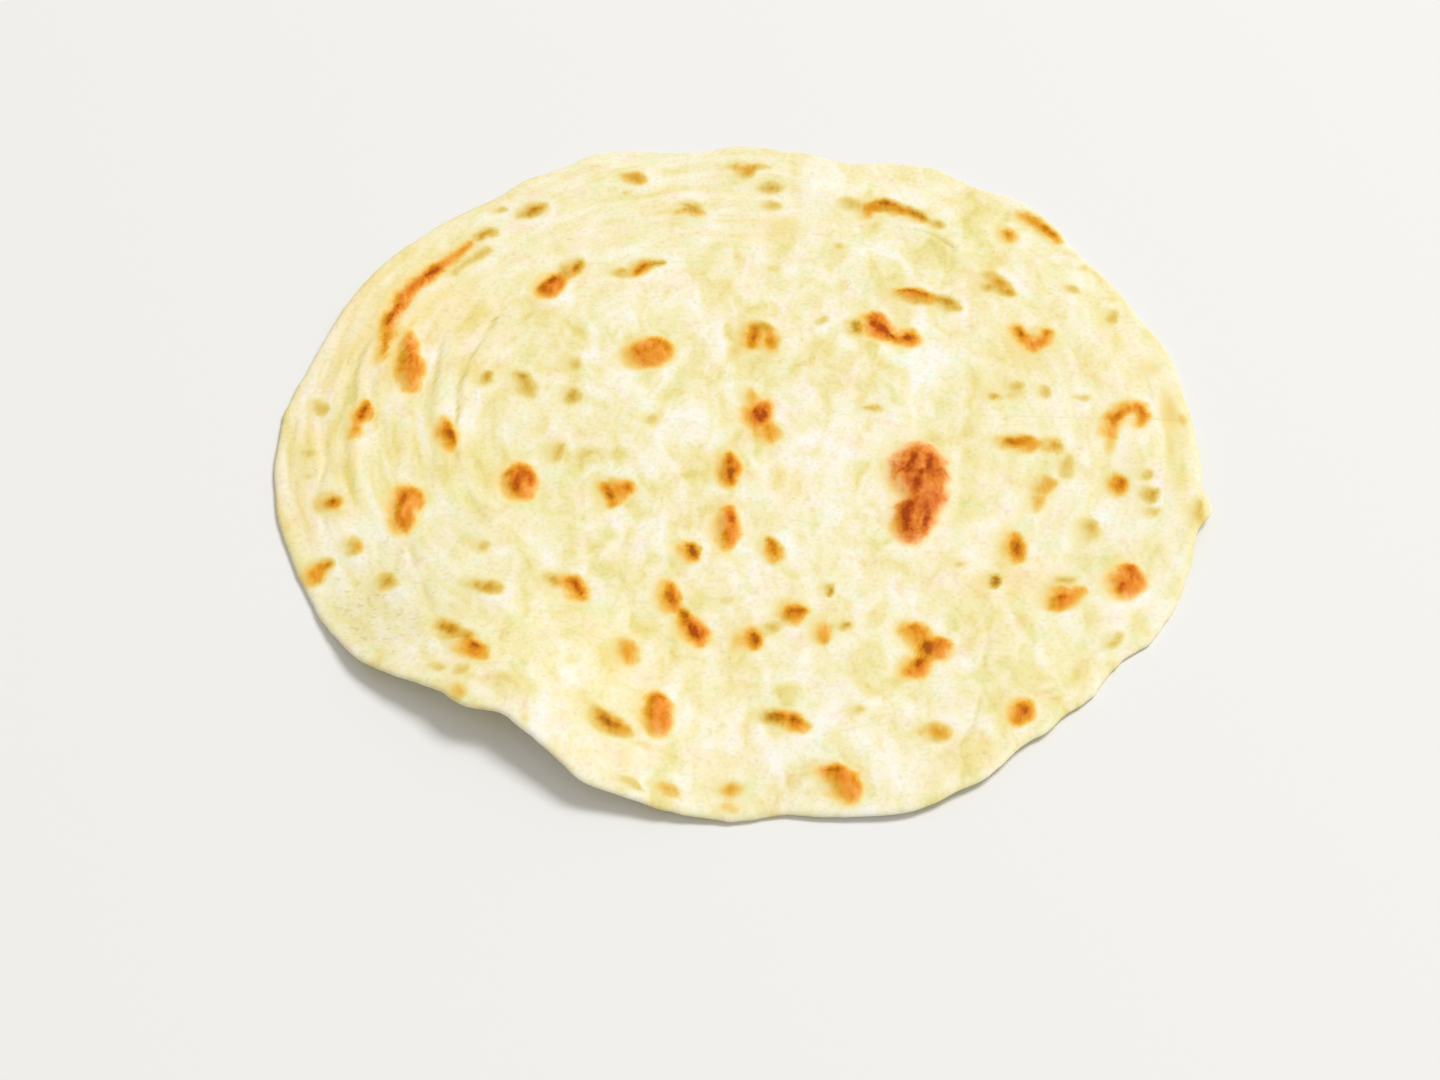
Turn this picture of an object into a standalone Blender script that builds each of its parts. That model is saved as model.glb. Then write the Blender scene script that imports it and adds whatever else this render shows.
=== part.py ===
"""Chapati: a thin round flatbread rolled out of a coil of layered dough, toasted on a hot plate.

It is one solid. It lies flat on its underside, apart from a stretch of rim that stands up in a wave.
The top shows the edges of the coiled layers as low arcs, and the bubbles that browned as low domes.
Run it with blender --background --python part.py. Metres, +Z up. The origin is on the surface that the
bread rests on, at the middle of its outline. Angles are in degrees, anticlockwise from +X seen from above.
"""

import math

import bmesh
import bpy

MM = 0.001

# The round of dough
RADIUS = 128.4 * MM
BODY_THICKNESS = 2.7 * MM
RIM_THICKNESS = 1.9 * MM
RIM_TAPER = 0.16  # share of the radius over which the body thins to the rim
THICKNESS_WAVE = 0.25 * MM  # hand rolling leaves the sheet this uneven

# The hand-rolled outline: where the rim reaches out or falls short, by how much, over what half angle
LOBES = (
    (18, 1.7 * MM, 10),
    (33, 1.0 * MM, 10),
    (45, 3.4 * MM, 9),
    (48.5, 1.8 * MM, 9),
    (53, 4.8 * MM, 8),
    (63, 4.6 * MM, 9),
    (76, -4.2 * MM, 7),
    (82, -1.9 * MM, 7),
    (87, -1.8 * MM, 8),
    (95, -1.3 * MM, 5),
    (98, -2.2 * MM, 8),
    (110, 3.2 * MM, 9),
    (120, 1.2 * MM, 6),
    (127.5, -1.2 * MM, 8),
    (161, -1.2 * MM, 14),
    (175, 0.7 * MM, 5),
    (187, 1.4 * MM, 20),
    (235, 1.6 * MM, 5),
    (236, -8.0 * MM, 20),
    (241, -2.2 * MM, 7),
    (247, -2.2 * MM, 6),
    (257.5, -1.0 * MM, 7),
    (275, -1.6 * MM, 6),
    (290, 4.0 * MM, 13),
    (299, 1.4 * MM, 4.5),
    (305.5, -1.6 * MM, 4.5),
    (314, -3.2 * MM, 9),
    (315, 1.1 * MM, 4),
    (322.5, -3.2 * MM, 6),
    (334, 1.2 * MM, 6),
    (340, 0.6 * MM, 5),
    (350, 3.0 * MM, 4),
)

# Waves of the sheet off the surface: angle at the rim, height, half angle, share of the radius where it starts
WAVES = (
    (239, 9.5 * MM, 34, 0.52),
    (84, 1.4 * MM, 24, 0.74),
    (152, 1.2 * MM, 20, 0.78),
    (296, 1.3 * MM, 28, 0.72),
    (350, 2.2 * MM, 20, 0.76),
)

# The folds: edges of the coiled layers, round the middle of the coil. Each layer swells outwards to its edge
# and drops there. Radius about the middle of the coil, angle of the middle of the edge, half angle, drop
COIL_CENTRE = (0.0, 13.0 * MM)
FOLDS = (
    (47 * MM, 20, 60, 0.20 * MM),
    (58 * MM, 250, 60, 0.25 * MM),
    (70 * MM, 96, 30, 0.30 * MM),
    (80 * MM, 188, 38, 0.50 * MM),
    (87 * MM, 186, 34, 0.60 * MM),
    (89 * MM, 98, 26, 0.40 * MM),
    (95 * MM, 50, 20, 0.45 * MM),
    (98 * MM, 226, 16, 0.50 * MM),
    (100 * MM, 335, 30, 0.35 * MM),
    (104 * MM, 156, 26, 0.50 * MM),
    (110 * MM, 184, 26, 0.60 * MM),
    (120 * MM, 200, 16, 0.40 * MM),
)
FOLD_SWELL = 9.0 * MM
FOLD_DROP = 3.0 * MM

# Browned bubbles: place, length, width, turn of the long side, height
BUBBLES = (
    (48.5 * MM, -13.5 * MM, 36 * MM, 17 * MM, 97, 1.5 * MM),
    (-26.5 * MM, 37.5 * MM, 18 * MM, 12 * MM, 20, 0.9 * MM),
    (42.5 * MM, 47.5 * MM, 20 * MM, 11 * MM, -28, 0.9 * MM),
    (-61.0 * MM, -13.0 * MM, 17 * MM, 13 * MM, 110, 0.9 * MM),
    (-90.5 * MM, -24.0 * MM, 20 * MM, 13 * MM, 95, 0.9 * MM),
    (5.5 * MM, 43.5 * MM, 16 * MM, 13 * MM, -40, 0.8 * MM),
    (6.5 * MM, 12.0 * MM, 19 * MM, 11 * MM, 110, 0.9 * MM),
    (-3.0 * MM, -29.5 * MM, 19 * MM, 10 * MM, 91, 0.8 * MM),
    (-12.0 * MM, -66.0 * MM, 17 * MM, 10 * MM, 117, 0.8 * MM),
    (49.5 * MM, -72.0 * MM, 19 * MM, 13 * MM, 70, 0.9 * MM),
    (104.0 * MM, -46.5 * MM, 14 * MM, 13 * MM, 0, 0.9 * MM),
    (26.5 * MM, -115.0 * MM, 15 * MM, 12 * MM, -50, 0.8 * MM),
    (-20.5 * MM, -94.0 * MM, 16 * MM, 11 * MM, 97, 0.8 * MM),
    (-95.0 * MM, 33.0 * MM, 30 * MM, 11 * MM, 95, 0.7 * MM),
)

# How finely the skin is divided. Outside the middle, each sector of the spin is split in two
SECTORS = 60
MIDDLE = 0.40  # share of the radius
MIDDLE_RINGS = 11
FOLD_RINGS = 24
RIM_SECTION = ((0.976, 1.0), (0.990, 0.80), (1.000, 0.20), (0.998, -0.45), (0.986, -0.90))  # share, level
UNDER_SHARES = (0.95, 0.87, 0.79, 0.71, 0.62, 0.50, 0.0)

DOUGH_COLOUR = (0.86, 0.72, 0.42, 1.0)
DOUGH_ROUGHNESS = 0.62


def clear_scene():
    for obj in list(bpy.data.objects):
        bpy.data.objects.remove(obj)


def turn_between(angle, other):
    """The smaller angle between two directions, in degrees."""
    return abs((angle - other + 180.0) % 360.0 - 180.0)


def hump(x):
    """1 at 0, falling smoothly to 0 at -1 and 1, and 0 beyond."""
    return math.cos(x * math.pi / 2) ** 2 if abs(x) < 1.0 else 0.0


def ease(x):
    """0 below 0, 1 above 1, with a smooth rise between."""
    x = min(max(x, 0.0), 1.0)
    return x * x * (3.0 - 2.0 * x)


def outline_radius(angle):
    return RADIUS + sum(
        reach * hump(turn_between(angle, at) / spread) for at, reach, spread in LOBES
    )


def wave_lift(share, angle):
    """How far the underside stands off the surface. It is exactly 0 away from the waves."""
    return sum(
        height * hump(turn_between(angle, at) / spread) * ease((share - start) / (1.0 - start))
        for at, height, spread, start in WAVES
    )


def thickness(share, angle):
    taper = ease((share - (1.0 - RIM_TAPER)) / RIM_TAPER)
    rolled = THICKNESS_WAVE * math.sin(math.radians(3.0 * angle)) * math.sin(math.pi * share)
    return BODY_THICKNESS + (RIM_THICKNESS - BODY_THICKNESS) * taper + rolled


def fold_relief(x, y):
    out = math.hypot(x - COIL_CENTRE[0], y - COIL_CENTRE[1])
    angle = math.degrees(math.atan2(y - COIL_CENTRE[1], x - COIL_CENTRE[0]))
    total = 0.0
    for radius, at, spread, drop in FOLDS:
        swell = ease((out - radius + FOLD_SWELL) / FOLD_SWELL)
        beyond = ease((out - radius) / FOLD_DROP)
        total += drop * hump(turn_between(angle, at) / spread) * (swell - beyond)
    return total


def bubble_relief(x, y):
    total = 0.0
    for at_x, at_y, length, width, turn, height in BUBBLES:
        c, s = math.cos(math.radians(turn)), math.sin(math.radians(turn))
        along = ((x - at_x) * c + (y - at_y) * s) / (0.5 * length)
        across = ((y - at_y) * c - (x - at_x) * s) / (0.5 * width)
        total += height * ease(1.0 - math.hypot(along, across))
    return total


def half_section():
    """(share of radius, level) from the middle of the top, round the rim, to the middle of the underside.

    Level is 1 on the top and -1 on the underside."""
    ring_step = (RIM_SECTION[0][0] - MIDDLE) / FOLD_RINGS
    middle = [(MIDDLE * i / MIDDLE_RINGS, 1.0) for i in range(MIDDLE_RINGS)]
    ring = [(MIDDLE + ring_step * i, 1.0) for i in range(FOLD_RINGS)]
    under = [(share, -1.0) for share in UNDER_SHARES]
    return middle + ring + list(RIM_SECTION) + under


def spun_disc():
    """A disc of radius 1 between z = -1 and 1: the half section turned once about the axis."""
    disc = bmesh.new()
    points = [disc.verts.new((share, 0.0, level)) for share, level in half_section()]
    edges = [disc.edges.new(pair) for pair in zip(points, points[1:])]
    bmesh.ops.spin(
        disc,
        geom=points + edges,
        axis=(0.0, 0.0, 1.0),
        cent=(0.0, 0.0, 0.0),
        steps=SECTORS,
        angle=2.0 * math.pi,
        use_merge=True,
    )
    bmesh.ops.remove_doubles(disc, verts=disc.verts, dist=1e-5)
    bmesh.ops.recalc_face_normals(disc, faces=disc.faces)
    return disc


def split_sectors(disc):
    """Halves each sector outside the middle, with the new points on the rings."""
    chords = []
    for edge in disc.edges:
        shares = [vert.co.xy.length for vert in edge.verts]
        level_run = abs(shares[0] - shares[1]) < 1e-5
        if level_run and shares[0] > MIDDLE + 1e-3:
            chords.append(edge)
    split = bmesh.ops.subdivide_edges(disc, edges=chords, cuts=1)
    middles = [part for part in split["geom_inner"] if isinstance(part, bmesh.types.BMVert)]
    reach = 1.0 / math.cos(math.pi / SECTORS)
    bmesh.ops.scale(disc, verts=middles, vec=(reach, reach, 1.0))


def shape_dough(disc):
    """Takes each point of the plain disc to its place on the bread."""
    for vert in disc.verts:
        share = math.hypot(vert.co.x, vert.co.y)
        angle = math.degrees(math.atan2(vert.co.y, vert.co.x))
        level = vert.co.z
        radius = share * outline_radius(angle)
        x = radius * math.cos(math.radians(angle))
        y = radius * math.sin(math.radians(angle))
        z = wave_lift(share, angle) + 0.5 * (1.0 + level) * thickness(share, angle)
        if level == 1.0:
            z += fold_relief(x, y) + bubble_relief(x, y)
        vert.co = (x, y, z)
    bmesh.ops.triangulate(disc, faces=disc.faces, ngon_method="BEAUTY")


def centre_outline(disc):
    """Puts the middle of the outline's box on the Z axis."""
    xs = [vert.co.x for vert in disc.verts]
    ys = [vert.co.y for vert in disc.verts]
    middle = (0.5 * (min(xs) + max(xs)), 0.5 * (min(ys) + max(ys)), 0.0)
    bmesh.ops.translate(disc, verts=disc.verts, vec=[-c for c in middle])


def dough_material():
    material = bpy.data.materials.new("toasted_dough")
    material.use_nodes = True
    shader = material.node_tree.nodes["Principled BSDF"]
    shader.inputs["Base Color"].default_value = DOUGH_COLOUR
    shader.inputs["Roughness"].default_value = DOUGH_ROUGHNESS
    shader.inputs["Metallic"].default_value = 0.0
    return material


def make_chapati():
    disc = spun_disc()
    split_sectors(disc)
    shape_dough(disc)
    centre_outline(disc)
    mesh = bpy.data.meshes.new("chapati")
    disc.to_mesh(mesh)
    disc.free()
    mesh.shade_smooth()
    mesh.materials.append(dough_material())
    chapati = bpy.data.objects.new("chapati", mesh)
    bpy.context.scene.collection.objects.link(chapati)
    return chapati


clear_scene()
make_chapati()
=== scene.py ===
import math

import bmesh
import bpy
import numpy as np
from mathutils import Matrix, Vector


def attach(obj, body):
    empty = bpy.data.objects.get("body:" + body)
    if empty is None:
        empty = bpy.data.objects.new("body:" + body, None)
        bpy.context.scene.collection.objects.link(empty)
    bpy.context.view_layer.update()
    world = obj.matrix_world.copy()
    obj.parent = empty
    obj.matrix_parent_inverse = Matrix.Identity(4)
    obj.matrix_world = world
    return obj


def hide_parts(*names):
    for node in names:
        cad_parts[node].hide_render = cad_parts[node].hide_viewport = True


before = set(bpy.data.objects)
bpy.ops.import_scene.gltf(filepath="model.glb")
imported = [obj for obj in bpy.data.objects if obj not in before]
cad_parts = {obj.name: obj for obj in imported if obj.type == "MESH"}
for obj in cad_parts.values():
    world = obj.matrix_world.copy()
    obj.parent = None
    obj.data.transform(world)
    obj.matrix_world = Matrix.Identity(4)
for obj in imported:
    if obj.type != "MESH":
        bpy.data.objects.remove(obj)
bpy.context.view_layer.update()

mm = 0.001

# ---- camera, floor and light ----

camera = {
    "lens": 70,
    "elevation": 48.58,
    "roll": 0.89,
    "distance": 762 * mm,
    "target": (-5.4 * mm, -32.9 * mm, 0),
}

floor = {"size": 4.0, "drop": 0.2 * mm, "colour": (240, 240, 238)}

lights = {
    "keyFrom": (0.52, 0.30, 0.95),
    "keyAway": 6.5,
    "keySize": 2.4,
    "keyPower": 266,
    "sky": 0.507,
    "skyColour": (255, 252, 250),
}


def tint(red, green, blue):
    # screen colour 0 to 255 as the linear colour a shader takes
    return tuple(((c / 255 + 0.055) / 1.055) ** 2.4 if c > 10 else c / 3295 for c in (red, green, blue)) + (1.0,)


def aimedMatrix(place, forward, rollDegrees):
    right = forward.cross(Vector((0, 0, 1))).normalized()
    up = right.cross(forward)
    turn = math.radians(rollDegrees)
    tiltedRight = right * math.cos(turn) + up * math.sin(turn)
    tiltedUp = up * math.cos(turn) - right * math.sin(turn)
    turned = Matrix((tiltedRight, tiltedUp, -forward)).transposed().to_4x4()
    return Matrix.Translation(place) @ turned


def makeCamera():
    lensData = bpy.data.cameras.new("viewer")
    lensData.lens = camera["lens"]
    lensData.sensor_width = 36
    viewer = bpy.data.objects.new("viewer", lensData)
    bpy.context.scene.collection.objects.link(viewer)
    lowered = math.radians(camera["elevation"])
    forward = Vector((0, math.cos(lowered), -math.sin(lowered)))
    place = Vector(camera["target"]) - forward * camera["distance"]
    viewer.matrix_world = aimedMatrix(place, forward, camera["roll"])
    bpy.context.scene.camera = viewer


def makeLight():
    keyData = bpy.data.lights.new("softKey", "AREA")
    keyData.size = lights["keySize"]
    keyData.energy = lights["keyPower"]
    key = bpy.data.objects.new("softKey", keyData)
    bpy.context.scene.collection.objects.link(key)
    out = Vector(lights["keyFrom"]).normalized()
    key.matrix_world = aimedMatrix(out * lights["keyAway"], -out, 0)
    sky = bpy.data.worlds.new("paleSky")
    sky.use_nodes = True
    glow = sky.node_tree.nodes["Background"]
    glow.inputs["Color"].default_value = tint(*lights["skyColour"])
    glow.inputs["Strength"].default_value = lights["sky"]
    bpy.context.scene.world = sky
    bpy.context.scene.view_settings.view_transform = "Standard"


def makeFloor():
    sheet = bmesh.new()
    bmesh.ops.create_grid(sheet, x_segments=1, y_segments=1, size=floor["size"] / 2)
    bmesh.ops.translate(sheet, verts=sheet.verts, vec=(0, 0, -floor["drop"]))
    mesh = bpy.data.meshes.new("paleFloor")
    sheet.to_mesh(mesh)
    sheet.free()
    paint = bpy.data.materials.new("paleFloor")
    paint.use_nodes = True
    finish = paint.node_tree.nodes["Principled BSDF"]
    finish.inputs["Base Color"].default_value = tint(*floor["colour"])
    finish.inputs["Roughness"].default_value = 0.8
    mesh.materials.append(paint)
    ground = bpy.data.objects.new("paleFloor", mesh)
    bpy.context.scene.collection.objects.link(ground)


# ---- shader maths on sockets ----

class Wire:
    # one output socket of a material: sums on it add Math nodes
    def __init__(self, tree, socket=None):
        self.tree = tree
        self.socket = socket

    def node(self, kind, settings={}, inputs={}, output=0):
        made = self.tree.nodes.new(kind)
        for name, value in settings.items():
            if name == "stops":
                fillRamp(made.color_ramp, value)
            else:
                setattr(made, name, value)
        for name, value in inputs.items():
            if isinstance(value, Wire):
                self.tree.links.new(value.socket, made.inputs[name])
            else:
                made.inputs[name].default_value = value
        return Wire(self.tree, made.outputs[output])

    def maths(self, operation, *values):
        return self.node("ShaderNodeMath", {"operation": operation}, dict(enumerate(values)))

    def __add__(self, other):
        return self.maths("ADD", self, other)

    def __radd__(self, other):
        return self.maths("ADD", other, self)

    def __sub__(self, other):
        return self.maths("SUBTRACT", self, other)

    def __rsub__(self, other):
        return self.maths("SUBTRACT", other, self)

    def __mul__(self, other):
        return self.maths("MULTIPLY", self, other)

    def __rmul__(self, other):
        return self.maths("MULTIPLY", other, self)

    def ease(self, low, high):
        # 0 at low, 1 at high, smooth between
        settings = {"interpolation_type": "SMOOTHSTEP"}
        return self.node("ShaderNodeMapRange", settings, {"Value": self, "From Min": low, "From Max": high})

    def ramp(self, stops):
        return self.node("ShaderNodeValToRGB", {"stops": stops}, {"Fac": self})

    def over(self, below, colour, blend="MIX"):
        # this mask lays a colour over the colour below
        settings = {"data_type": "RGBA", "blend_type": blend}
        return self.node("ShaderNodeMix", settings, {0: self, 6: below, 7: colour}, output=2)


def fillRamp(ramp, stops):
    while len(ramp.elements) < len(stops):
        ramp.elements.new(0.5)
    for element, (place, colour) in zip(ramp.elements, stops):
        element.position = place
        element.color = tint(*colour)


# ---- the round of dough ----

dough = {
    "piece": "toastedRound",
    "radius": 128.4,
    "body": 2.7,
    "rim": 1.9,
    "rimTaper": 0.16,
    "rollWave": 0.25,
    "topCells": 250,
    "underCells": 125,
    "rimRows": ((0.990, 0.93), (0.9945, 0.74), (0.9985, 0.40), (1.0, 0.0), (0.9985, -0.40), (0.994, -0.78), (0.986, -1.0)),
    "firstShare": 0.983,
}

# where the rim reaches out or falls short: angle, reach in mm, half angle
lobes = (
    (18, 1.7, 10), (33, 1.0, 10), (45, 3.4, 9), (48.5, 1.8, 9), (53, 4.8, 8), (63, 4.6, 9), (76, -4.2, 7),
    (82, -1.9, 7), (87, -1.8, 8), (95, -1.3, 5), (98, -2.2, 8), (110, 3.2, 9), (120, 1.2, 6), (127.5, -1.2, 8),
    (161, -1.2, 14), (175, 0.7, 5), (187, 1.4, 20), (235, 1.6, 5), (236, -8.0, 20), (241, -2.2, 7), (247, -2.2, 6),
    (257.5, -1.0, 7), (275, -1.6, 6), (290, 4.0, 13), (299, 1.4, 4.5), (305.5, -1.6, 4.5), (314, -3.2, 9),
    (315, 1.1, 4), (322.5, -3.2, 6), (334, 1.2, 6), (340, 0.6, 5), (350, 3.0, 4),
)

# waves off the surface: angle, height in mm, half angle, share of the radius where each starts
waves = (
    (239, 9.4, 34, 0.52), (84, 1.4, 24, 0.74), (152, 1.2, 20, 0.78), (296, 1.3, 28, 0.72), (350, 2.2, 20, 0.76),
)


def ease(x):
    x = np.clip(x, 0, 1)
    return x * x * (3 - 2 * x)


def hump(x):
    return np.where(np.abs(x) < 1, np.cos(np.clip(x, -1, 1) * math.pi / 2) ** 2, 0)


def turnBetween(angle, other):
    return np.abs((angle - other + 180) % 360 - 180)


def grain(x, y, size, seed):
    # smooth noise between -1 and 1 with blobs of the given size
    table = np.random.default_rng(seed).uniform(-1, 1, (128, 128))
    u = x / size + 64
    v = y / size + 64
    column = np.floor(u).astype(int)
    row = np.floor(v).astype(int)
    across = ease(u - column)
    along = ease(v - row)

    def corner(dx, dy):
        return table[(column + dx) % 128, (row + dy) % 128]

    near = corner(0, 0) * (1 - across) + corner(1, 0) * across
    far = corner(0, 1) * (1 - across) + corner(1, 1) * across
    return near * (1 - along) + far * along


def outlineRadius(angle):
    return dough["radius"] + sum(reach * hump(turnBetween(angle, at) / spread) for at, reach, spread in lobes)


def waveLift(share, angle):
    return sum(
        height * hump(turnBetween(angle, at) / spread) * ease((share - start) / (1 - start))
        for at, height, spread, start in waves
    )


def thickness(share, angle):
    taper = ease((share - 1 + dough["rimTaper"]) / dough["rimTaper"])
    rolled = dough["rollWave"] * np.sin(np.radians(3 * angle)) * np.sin(math.pi * share)
    return dough["body"] + (dough["rim"] - dough["body"]) * taper + rolled


def roundPlace(across, along):
    # a place on the square from -1 to 1, taken to the unit round with even cells
    if abs(across) > abs(along):
        turn = math.pi / 4 * along / across
        return across * math.cos(turn), across * math.sin(turn)
    if along == 0:
        return 0.0, 0.0
    turn = math.pi / 2 - math.pi / 4 * across / along
    return along * math.cos(turn), along * math.sin(turn)


def addFace(skin, cells, share, level):
    # one face of the round, drawn from a square grid
    made = bmesh.ops.create_grid(skin, x_segments=cells, y_segments=cells, size=1)["verts"]
    for vert in made:
        x, y = roundPlace(vert.co.x, vert.co.y)
        vert.co = (x * share, y * share, level)
    return made


def unitRound():
    skin = bmesh.new()
    addFace(skin, dough["topCells"], dough["firstShare"], 1)
    lastShare, lastLevel = dough["firstShare"], 1
    for share, level in dough["rimRows"]:
        edges = [edge for edge in skin.edges if edge.is_boundary]
        grown = bmesh.ops.extrude_edge_only(skin, edges=edges)["geom"]
        paleRingAndHighlight = [part for part in grown if isinstance(part, bmesh.types.BMVert)]
        bmesh.ops.scale(skin, verts=paleRingAndHighlight, vec=(share / lastShare, share / lastShare, 1))
        bmesh.ops.translate(skin, verts=paleRingAndHighlight, vec=(0, 0, level - lastLevel))
        lastShare, lastLevel = share, level
    under = addFace(skin, dough["underCells"], lastShare, lastLevel)
    ours = set(under)
    edges = [edge for edge in skin.edges if edge.is_boundary and edge.verts[0] in ours]
    split = bmesh.ops.subdivide_edges(skin, edges=edges, cuts=1)["geom_inner"]
    for part in split:
        if isinstance(part, bmesh.types.BMVert):
            part.co.xy *= lastShare / part.co.xy.length
    bmesh.ops.remove_doubles(skin, verts=skin.verts, dist=2e-5)
    bmesh.ops.recalc_face_normals(skin, faces=skin.faces)
    return skin


# ---- folds, blisters and toasting ----

# edges of the coiled layers round the middle of the coil: radius in mm, angle, half angle, drop in mm
coil = {"middle": (0, 13), "swell": 9.0, "drop": 2.2}
folds = (
    (47, 20, 60, 0.20), (58, 250, 60, 0.25), (70, 96, 30, 0.30), (80, 188, 38, 0.50), (87, 186, 34, 0.60),
    (89, 98, 26, 0.40), (95, 50, 20, 0.45), (98, 226, 16, 0.50), (100, 335, 30, 0.35), (104, 156, 26, 0.50),
    (110, 184, 26, 0.60), (120, 200, 16, 0.40),
)

# furrows between the layers: points, width in mm, depth
furrows = (
    (((-106, 43), (-109, 33), (-110, 22), (-110, 10), (-109.5, 0)), 1.3, 0.42),
    (((-104.5, 40), (-105.5, 30), (-105, 20), (-104, 12)), 2.0, 0.26),
    (((-71.5, 50), (-75, 40), (-78, 31), (-79.5, 22), (-79.8, 12), (-80, 5)), 1.2, 0.45),
    (((-85.5, 44), (-87, 30), (-87, 15), (-86.5, 0), (-85, -12)), 1.5, 0.36),
    (((-100, 20), (-100.5, 8), (-100, -5), (-98, -15)), 2.4, 0.18), (((-95, 14), (-96, 0), (-95, -12)), 1.8, 0.16),
    (((-110, 0), (-108.5, -10), (-107, -20)), 1.4, 0.30), (((-115, -5), (-115, -22), (-113, -32)), 1.4, 0.26),
    (((-125, 8), (-126, -5), (-124, -18)), 1.6, 0.24), (((-98, -38), (-93, -55), (-88, -68)), 1.6, 0.20),
    (((-90, -35), (-85, -50), (-80, -66), (-76, -80)), 1.8, 0.30), (((-72, -40), (-70, -55), (-66, -68)), 1.5, 0.22),
    (((-113, 48), (-117, 35), (-119, 22)), 1.4, 0.20), (((-92, 60), (-95, 52), (-97, 46)), 1.6, 0.16),
    (((-82, 58), (-87, 45), (-91, 33)), 1.6, 0.16), (((-64, 66), (-70, 58), (-75, 50)), 1.4, 0.18),
    (((52, 90.5), (57, 88.5), (61, 84.5), (63, 82)), 1.3, 0.45), (((93.5, 50), (97, 44), (96.5, 38), (95, 30)), 1.6, 0.20),
    (((-24, 93), (-5, 95.5), (12, 94)), 1.4, 0.16), (((-40, 104), (-22, 108), (-2, 109)), 1.4, 0.16),
    (((20, 88), (34, 85), (46, 79)), 1.4, 0.18), (((-10, 118), (10, 120), (22, 117)), 1.2, 0.14),
    (((116, 30), (119, 15), (119.5, 0)), 1.8, 0.22), (((101, 30), (103, 20)), 1.6, 0.18), (((56, -104), (60, -97), (62, -88)), 1.4, 0.22),
    (((22, -101), (32, -98.5), (40, -97)), 1.2, 0.22), (((64, -58), (66, -68), (64, -78)), 1.8, 0.18),
)

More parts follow.
